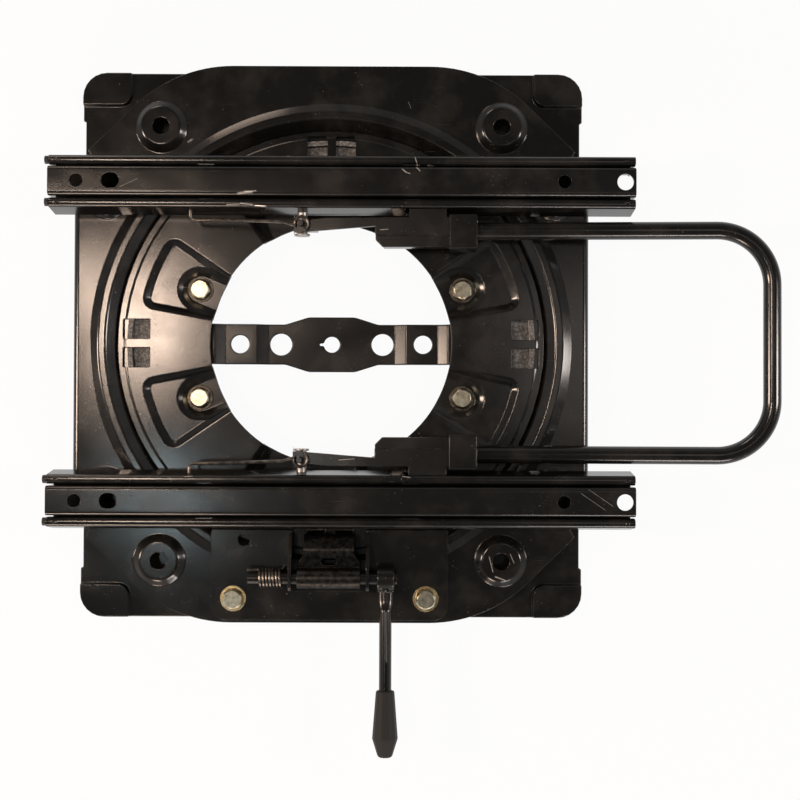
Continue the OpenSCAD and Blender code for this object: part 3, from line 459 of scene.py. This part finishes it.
class Wardrobe:
    """Makes each finish once and hands it out."""

    def __init__(self) -> None:
        """Start with nothing made."""
        self.made: dict[Look, bpy.types.Material] = {}

    def get(self, look: Look) -> bpy.types.Material:
        """Return the material of a look."""
        if look not in self.made:
            self.made[look] = look.value.build()
        return self.made[look]

    def wear(self, piece: bpy.types.Object, look: Look) -> None:
        """Give a piece one material."""
        piece.data.materials.clear()
        piece.data.materials.append(self.get(look))


@dataclass
class Studio:
    """The camera, the lamps, the world and the floor."""

    eye: Point = (53.3, -59.5, 1071.2)
    tilt: Point = (0.0135, -0.0026, 0.0035)
    focal_px: float = 1302.4
    image_px: float = 800.0
    sensor: float = 36.0
    floor_size: float = 6.0
    floor_drop: float = 0.0002
    floor_grey: float = 0.86
    floor_share: float = 0.94
    room_level: float = 0.42
    room_top: float = 0.10

    def camera(self) -> None:
        """Set up the camera as the photograph was taken."""
        data = bpy.data.cameras.new("camera")
        data.sensor_width = self.sensor
        data.lens = self.focal_px / self.image_px * data.sensor_width
        data.clip_start, data.clip_end = 0.01, 50.0
        seen = bpy.data.objects.new("camera", data)
        seen.location = Vector(self.eye) * MM
        seen.rotation_euler = self.tilt
        bpy.context.scene.collection.objects.link(seen)
        bpy.context.scene.camera = seen

    def lamp(self, name: str, place: Point, size: tuple[float, float], radiance: float, colour: Colour,
             aim: Point = (0.0, 0.0, 0.0)) -> None:
        """Add a rectangular lamp.

        Args:
            name: The lamp's name.
            place: Its middle, in metres.
            size: Its two sides, in metres.
            radiance: How bright its face looks.
            colour: Its colour.
            aim: The point that it faces.
        """
        data = bpy.data.lights.new(name, "AREA")
        data.shape = "RECTANGLE"
        data.size, data.size_y = size
        data.energy = radiance * math.pi * size[0] * size[1]
        data.color = colour
        made = bpy.data.objects.new(name, data)
        made.location = place
        made.rotation_euler = (Vector(aim) - Vector(place)).to_track_quat("-Z", "Y").to_euler()
        bpy.context.scene.collection.objects.link(made)

    def lamps(self) -> None:
        """Add the lamps."""
        warm, mild, cool = (1.0, 0.77, 0.61), (1.0, 0.90, 0.84), (0.74, 0.93, 1.0)
        self.lamp("left_box", (-0.54, 0.15, 2.0), (0.22, 0.15), 52.0, warm)
        self.lamp("left_corner", (-0.70, 0.25, 2.0), (0.12, 0.09), 46.0, warm)
        self.lamp("left_glow", (-0.60, 0.05, 2.05), (0.9, 0.9), 0.12, mild)
        self.lamp("right_glow", (0.50, 0.10, 2.0), (0.36, 0.36), 1.1, mild)
        self.lamp("left_low", (-1.7, 0.0, 1.3), (0.3, 0.6), 38.0, warm)
        self.lamp("right_low", (1.8, 0.0, 1.3), (0.3, 0.6), 24.0, mild)
        self.lamp("front_left", (-0.65, -2.2, 0.75), (0.6, 0.40), 24.0, warm)
        self.lamp("front_right", (0.75, -2.2, 0.75), (0.8, 0.40), 14.0, mild)
        self.lamp("back_left", (-0.9, 2.2, 0.8), (0.7, 0.4), 8.0, warm)
        self.lamp("cool_box", (-0.49, -0.24, 2.0), (0.18, 0.10), 13.0, cool)

    def world(self) -> None:
        """Give the room a plain dim light, paler where the camera sees it."""
        world = bpy.data.worlds.new("room")
        world.use_nodes = True
        bpy.context.scene.world = world
        graph = Graph(world.node_tree)
        seen = graph.node("ShaderNodeLightPath", out="Is Camera Ray")
        facing = graph.node("ShaderNodeTexCoord", out="Generated")
        ways = graph.node("ShaderNodeSeparateXYZ", inputs={0: facing})
        height = Sock(graph, ways.socket.node.outputs[2])
        room = abs(height).ramp(0.15, 0.85, self.room_level, self.room_top)
        strength = seen + (1.0 - seen) * room
        inputs = {"Color": (1.0, 0.98, 0.96, 1.0), "Strength": strength}
        back = graph.node("ShaderNodeBackground", inputs=inputs)
        graph.node("ShaderNodeOutputWorld", inputs={"Surface": back})

    def floor(self) -> None:
        """Lay a plain pale floor that keeps a soft shadow."""
        bpy.ops.mesh.primitive_plane_add(size=self.floor_size, location=(0.0, 0.0, -self.floor_drop))
        floor = bpy.context.object
        floor.name = "floor"
        material = bpy.data.materials.new("floor_white")
        material.use_nodes = True
        graph = Graph(material.node_tree)
        path = graph.node("ShaderNodeLightPath").socket.node
        rays = Sock(graph, path.outputs["Is Camera Ray"])
        for name in ("Is Glossy Ray", "Is Transmission Ray"):
            rays = rays.most(Sock(graph, path.outputs[name]))
        grey = (self.floor_grey, self.floor_grey, self.floor_grey, 1.0)
        matt = graph.node("ShaderNodeBsdfDiffuse", inputs={"Color": grey})
        white = graph.node("ShaderNodeEmission", inputs={"Color": (1.0, 1.0, 1.0, 1.0), "Strength": 1.0})
        mixed = graph.node("ShaderNodeMixShader", inputs={0: rays * self.floor_share, 1: matt, 2: white})
        graph.node("ShaderNodeOutputMaterial", inputs={"Surface": mixed})
        floor.data.materials.append(material)

    def build(self) -> None:
        """Set up everything round the object."""
        bpy.context.scene.view_settings.view_transform = "Standard"
        self.camera()
        self.lamps()
        self.world()
        self.floor()


def pick(piece: bpy.types.Object) -> None:
    """Select one piece alone and make it the active one."""
    bpy.ops.object.select_all(action="DESELECT")
    piece.select_set(True)
    bpy.context.view_layer.objects.active = piece


def settle(piece: bpy.types.Object) -> None:
    """Put the place and turn of a piece into its mesh."""
    pick(piece)
    bpy.ops.object.transform_apply(location=True, rotation=True, scale=True)


def apply(piece: bpy.types.Object, kind: str, **settings: Any) -> None:
    """Add one modifier with its settings and apply it."""
    pick(piece)
    added = piece.modifiers.new(kind.lower(), kind)
    for name, value in settings.items():
        setattr(added, name, value)
    bpy.ops.object.modifier_apply(modifier=added.name)


def tidy_shading(piece: bpy.types.Object, sharp: float) -> None:
    """Shade a piece smooth below the angle in degrees, and keep its large faces flat."""
    pick(piece)
    bpy.ops.object.shade_smooth_by_angle(angle=math.radians(sharp))
    apply(piece, "WEIGHTED_NORMAL", keep_sharp=True, mode="FACE_AREA_WITH_ANGLE", weight=50)


class Bench:
    """Where pieces are finished: it knows each node's slot and hands out the finishes."""

    def __init__(self) -> None:
        """Read the slots from the record."""
        self.wardrobe = Wardrobe()
        self.slots = {row["node"]: row["material_slot"] for row in frame["record"]["subparts"]}

    def dress(self, piece: bpy.types.Object, node: str, look: Optional[Look] = None,
              stands_for: bool = True) -> None:
        """Give a piece its finish, body and slot.

        Args:
            piece: The finished mesh.
            node: The solid whose body and slot it takes.
            look: The finish, if not the slot's usual one.
            stands_for: Whether it replaces the solid.
        """
        slot = self.slots[node]
        self.wardrobe.wear(piece, look or SLOT_LOOKS[slot])
        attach(piece, frame["nodes"][node]["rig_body"])
        if stands_for:
            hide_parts(node)
        LOG.info("%s: %d faces", piece.name, len(piece.data.polygons))

    def dress_below(self, piece: bpy.types.Object, height: float, look: Look) -> None:
        """Give the faces of a piece under a height in metres a second finish."""
        piece.data.materials.append(self.wardrobe.get(look))
        for face in piece.data.polygons:
            if face.center.z < height:
                face.material_index = 1


@dataclass
class SubAssembly:
    """A group of pieces that are built and dressed together.

    Sizes are in millimetres and angles in degrees.
    """

    bench: Bench
    edge: float = 0.4
    sharp: float = 34.0
    merge: float = 0.02
    flat: float = 0.5
    hexagon_h: float = 5.3

    def copied(self, node: str) -> bpy.types.Object:
        """Return a merged copy of a solid, with its flat faces whole."""
        piece = bpy.data.objects.new(node + "_shell", frame["nodes"][node].data.copy())
        bpy.context.scene.collection.objects.link(piece)
        pick(piece)
        bpy.ops.object.mode_set(mode="EDIT")
        bpy.ops.mesh.select_all(action="SELECT")
        bpy.ops.mesh.remove_doubles(threshold=self.merge * MM)
        bpy.ops.mesh.dissolve_limited(angle_limit=math.radians(self.flat))
        bpy.ops.object.mode_set(mode="OBJECT")
        return piece

    def soften(self, node: str, width: Optional[float] = None, look: Optional[Look] = None,
               dents: Sequence[bpy.types.Object] = ()) -> bpy.types.Object:
        """Copy a solid, round its edges and dress it.

        Args:
            node: The solid.
            width: The width of the rounded edges, if not the usual one.
            look: The finish, if not the slot's usual one.
            dents: Small bodies that are pressed into it first.

        Returns:
            The finished piece.
        """
        piece = self.copied(node)
        for dent in dents:
            apply(piece, "BOOLEAN", object=dent, operation="DIFFERENCE", solver="EXACT")
            bpy.data.objects.remove(dent, do_unlink=True)
        rounding = self.edge if width is None else width
        if rounding > 0.0:
            apply(piece, "BEVEL", width=rounding * MM, segments=2, limit_method="ANGLE",
                  angle_limit=math.radians(self.sharp), use_clamp_overlap=False, miter_outer="MITER_ARC")
        tidy_shading(piece, self.sharp)
        self.bench.dress(piece, node, look)
        return piece

    def dimple(self, places: Sequence[Point], radius: float) -> bpy.types.Object:
        """Return one body of small balls, for pressing dimples.

        Args:
            places: The balls' middles in millimetres.
            radius: Their radius in millimetres.

        Returns:
            The joined body.
        """
        balls = []
        for place in places:
            bpy.ops.object.select_all(action="DESELECT")
            bpy.ops.mesh.primitive_uv_sphere_add(segments=12, ring_count=8, radius=radius * MM,
                                                 location=Vector(place) * MM)
            balls.append(bpy.context.object)
        for ball in balls:
            ball.select_set(True)
        bpy.context.view_layer.objects.active = balls[0]
        bpy.ops.object.join()
        settle(balls[0])
        return balls[0]

    def build(self) -> None:
        """Build and dress every piece."""
        raise NotImplementedError


@dataclass
class FixedBase(SubAssembly):
    """The plate on the seat box, the retaining ring, the strap and the ring's bolts."""

    plate_edge: float = 1.15
    ring_edge: float = 0.3
    strap_edge: float = 1.1

    def bolts(self) -> None:
        """Soften the ring's bolts and darken what lies under their hexagons."""
        piece = self.soften("ring_bolts", 0.25, Look.HEAD)
        self.bench.dress_below(piece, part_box("ring_bolts")[1][2] - self.hexagon_h * MM, Look.WASHER)

    def build(self) -> None:
        """Build and dress every piece."""
        self.soften("lower_plate", self.plate_edge)
        self.soften("retaining_ring", self.ring_edge)
        self.bolts()
        self.soften("centre_strap", self.strap_edge)
        for node in ("strap_rivets", "ring_nuts", "lower_glide_ring", "upper_glide_ring"):
            self.soften(node)


@dataclass
class Turntable(SubAssembly):
    """The turning plate with its bead, domes and flanges."""

    edge: float = 0.5

    def build(self) -> None:
        """Build and dress the plate."""
        self.soften("upper_plate", look=Look.TURNTABLE)


@dataclass
class SeatSlides(SubAssembly):
    """The two slides with their rivets, plugs, cages and balls."""

    stake_inset: tuple[float, float] = (7.0, 6.5)
    stake_radius: float = 2.2
    stake_depth: float = 0.7
    lobe_inset: float = 3.65
    lobe_out: float = 20.2
    end_inset: float = 10.5
    end_radius: float = 14.5
    end_depth: float = 8.0

    def stakes(self, node: str) -> bpy.types.Object:
        """Return the bodies that press the staking dimples into a lower rail's lobes."""
        low, high = (Vector(corner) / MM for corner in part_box(node))
        top = high.z + self.stake_radius - self.stake_depth
        middle = (low.y + high.y) / 2
        half = self.lobe_out - self.lobe_inset
        places = [(x, middle + side * half, top)
                  for x in (low.x + self.stake_inset[0], high.x - self.stake_inset[1]) for side in (-1, 1)]
        return self.dimple(places, self.stake_radius)

    def end_hole(self, node: str) -> bpy.types.Object:
        """Return the body that opens the floor's hole out through the front end."""
        low, high = (Vector(corner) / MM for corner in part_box(node))
        middle = Vector((high.x - self.end_inset, (low.y + high.y) / 2, low.z))
        bpy.ops.object.select_all(action="DESELECT")
        bpy.ops.mesh.primitive_cylinder_add(vertices=48, radius=self.end_radius * MM,
                                            depth=self.end_depth * MM, location=middle * MM)
        cut = bpy.context.object
        settle(cut)
        return cut

    def build(self) -> None:
        """Build and dress every piece."""
        for side in ("left", "right"):
            rail = side + "_lower_rail"
            self.soften(rail, look=Look.RAIL, dents=[self.stakes(rail), self.end_hole(rail)])
            self.soften(side + "_upper_rail", 0.2, Look.SLIDE)
        for node in ("rail_rivets", "rail_end_plugs", "ball_cages"):
            self.soften(node, 0.3)
        self.soften("rail_balls", 0.0)


@dataclass
class SlideLock(SubAssembly):
    """The lock levers with their pins, springs and clips, and the loop handle."""

    def build(self) -> None:
        """Build and dress every piece."""
        for side in ("left", "right"):
            self.soften(side + "_lock_lever", look=Look.LEVER)
            self.soften(side + "_lever_spring", 0.0)
        self.soften("lever_pins", 0.3)
        self.soften("handle_clips", 0.5)
        self.soften("loop_handle", 0.0)


@dataclass
class SwivelLatch(SubAssembly):
    """The latch with its plate, bracket, shaft, spring, pawl and lever."""

    rod_start: float = 6.5
    rod_end: float = 100.0
    rod_radius: float = 4.9
    neck_end: float = 24.0
    neck_half: float = 2.9
    neck_lead: float = 7.0
    neck_taper: float = 3.0
    neck_out: float = 2.0
    neck_widen: float = 0.5
    grip_start: float = 87.2
    grip_end: float = 139.0
    grip_widest: float = 14.5
    grip_radii: tuple[float, float, float] = (7.4, 10.2, 5.2)
    grip_edge: float = 0.9
    grip_sides: int = 10
    weld_ring: float = 4.6
    weld_bead: float = 1.7
    weld_at: float = 9.6
    weld_flat: float = 0.85

    def on_rod(self, piece: bpy.types.Object) -> None:
        """Turn a piece that was modelled along Z onto the lever rod's axis."""
        root, along = self.rod_axis()
        turn = along.to_track_quat("Z", "X").to_matrix().to_4x4()
        piece.matrix_world = Matrix.Translation(root) @ turn
        settle(piece)

    def rod_axis(self) -> tuple[Vector, Vector]:
        """Return the shaft's point under the rod, and the way that the rod runs."""
        shaft = [(a + b) / 2 for a, b in zip(*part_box("latch_shaft"))]
        collar = [(a + b) / 2 for a, b in zip(*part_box("lever_collar"))]
        low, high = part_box("lever_rod")
        root = Vector((collar[0], shaft[1], shaft[2]))
        rise = high[2] - shaft[2]
        run = shaft[1] - low[1]
        return root, Vector((0.0, -run, rise)).normalized()

    def lathe(self, name: str, stages: Sequence[tuple[float, float]], sides: int) -> bpy.types.Object:
        """Extrude a round bar through stages of distance and radius, in millimetres.

        Args:
            name: The piece's name.
            stages: Its distances along Z and its radii.
            sides: The number of its sides.

        Returns:
            The bar, closed at both ends.
        """
        bpy.ops.object.select_all(action="DESELECT")
        start, radius = stages[0]
        bpy.ops.mesh.primitive_circle_add(vertices=sides, radius=radius * MM, fill_type="NGON",
                                          location=(0.0, 0.0, start * MM))
        piece = bpy.context.object
        piece.name = name
        settle(piece)
        bpy.ops.object.mode_set(mode="EDIT")
        bpy.ops.mesh.select_all(action="SELECT")
        for (before, old), (after, new) in zip(stages, stages[1:]):
            bpy.ops.mesh.extrude_region_move(
                TRANSFORM_OT_translate={"value": (0.0, 0.0, (after - before) * MM)})
            bpy.ops.transform.resize(value=(new / old, new / old, 1.0))
        bpy.ops.mesh.select_all(action="SELECT")
        bpy.ops.mesh.normals_make_consistent(inside=False)
        bpy.ops.object.mode_set(mode="OBJECT")
        return piece

    def rod(self) -> None:
        """Make the lever rod with its flattened neck."""
        neck = self.neck_end
        places = (self.rod_start, neck - self.neck_lead, neck - self.neck_taper, neck, neck + self.neck_out,
                  self.rod_end)
        stages = [(place, self.rod_radius) for place in places]
        piece = self.lathe("lever_rod_bar", stages, 32)
        squeeze = {0: self.neck_half, 1: self.neck_half, 2: self.neck_half + 0.5, 3: self.rod_radius - 0.3}
        for point in piece.data.vertices:
            for stage, half in squeeze.items():
                if abs(point.co.z - stages[stage][0] * MM) < NEAR:
                    point.co.x *= half / self.rod_radius
                    point.co.y *= 1.0 + self.neck_widen * (1.0 - half / self.rod_radius)
        self.on_rod(piece)
        tidy_shading(piece, 40.0)
        self.bench.dress(piece, "lever_rod", Look.ROD)

    def weld(self) -> None:
        """Lay the uneven weld between the collar and the rod."""
        bpy.ops.object.select_all(action="DESELECT")
        bpy.ops.mesh.primitive_torus_add(major_radius=self.weld_ring * MM, minor_radius=self.weld_bead * MM,
                                         major_segments=36, minor_segments=12,
                                         location=(0.0, 0.0, self.weld_at * MM))
        piece = bpy.context.object
        piece.name = "rod_weld"
        settle(piece)
        # Two waves round the bead make it uneven.
        for point in piece.data.vertices:
            angle = math.atan2(point.co.y, point.co.x)
            swell = 1.0 + 0.10 * math.sin(9.0 * angle) + 0.06 * math.sin(5.0 * angle + 1.0)
            point.co.x *= swell * self.weld_flat
            point.co.y *= swell
        self.on_rod(piece)
        tidy_shading(piece, 60.0)
        self.bench.dress(piece, "lever_collar", Look.SMALL, stands_for=False)

    def grip(self) -> None:
        """Make the moulded grip: a long cone, a short one and a rounded end."""
        first, widest, last = self.grip_radii
        turn = self.grip_end - self.grip_widest
        stages = [(self.grip_start + 4.0, 4.9), (self.grip_start, 5.2), (self.grip_start, first - 0.9),
                  (self.grip_start + 0.9, first), (turn - 0.6, widest - 0.05), (turn, widest),
                  (turn + 0.8, widest - 0.35), (self.grip_end - 1.8, last + 0.9),
                  (self.grip_end - 0.6, last + 0.1), (self.grip_end, last - 1.4)]
        piece = self.lathe("lever_grip_moulding", stages, self.grip_sides)
        apply(piece, "BEVEL", width=self.grip_edge * MM, segments=3, limit_method="ANGLE",
              angle_limit=math.radians(20.0), use_clamp_overlap=True)
        self.on_rod(piece)
        tidy_shading(piece, 30.0)
        self.bench.dress(piece, "lever_grip")

    def bolts(self) -> None:
        """Soften the latch's bolts, with a yellower flange under their hexagons."""
        piece = self.soften("latch_bolts", 0.2, Look.HEAD)
        self.bench.dress_below(piece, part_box("latch_bolts")[1][2] - self.hexagon_h * MM, Look.ZINC)

    def build(self) -> None:
        """Build and dress every piece."""
        self.soften("latch_plate", 0.3)
        for node in ("latch_bracket", "latch_nuts", "latch_shaft", "latch_pawl"):
            self.soften(node)
        self.soften("lever_collar", 1.4)
        self.soften("latch_spring", 0.0)
        self.bolts()
        self.rod()
        self.weld()
        self.grip()


def main() -> None:
    """Build the studio and every sub-assembly in order."""
    logging.basicConfig(level=logging.INFO, format="%(message)s")
    bpy.ops.object.select_all(action="DESELECT")
    Studio().build()
    bench = Bench()
    for kind in (FixedBase, Turntable, SeatSlides, SlideLock, SwivelLatch):
        kind(bench).build()


if __name__ == "__main__":
    main()
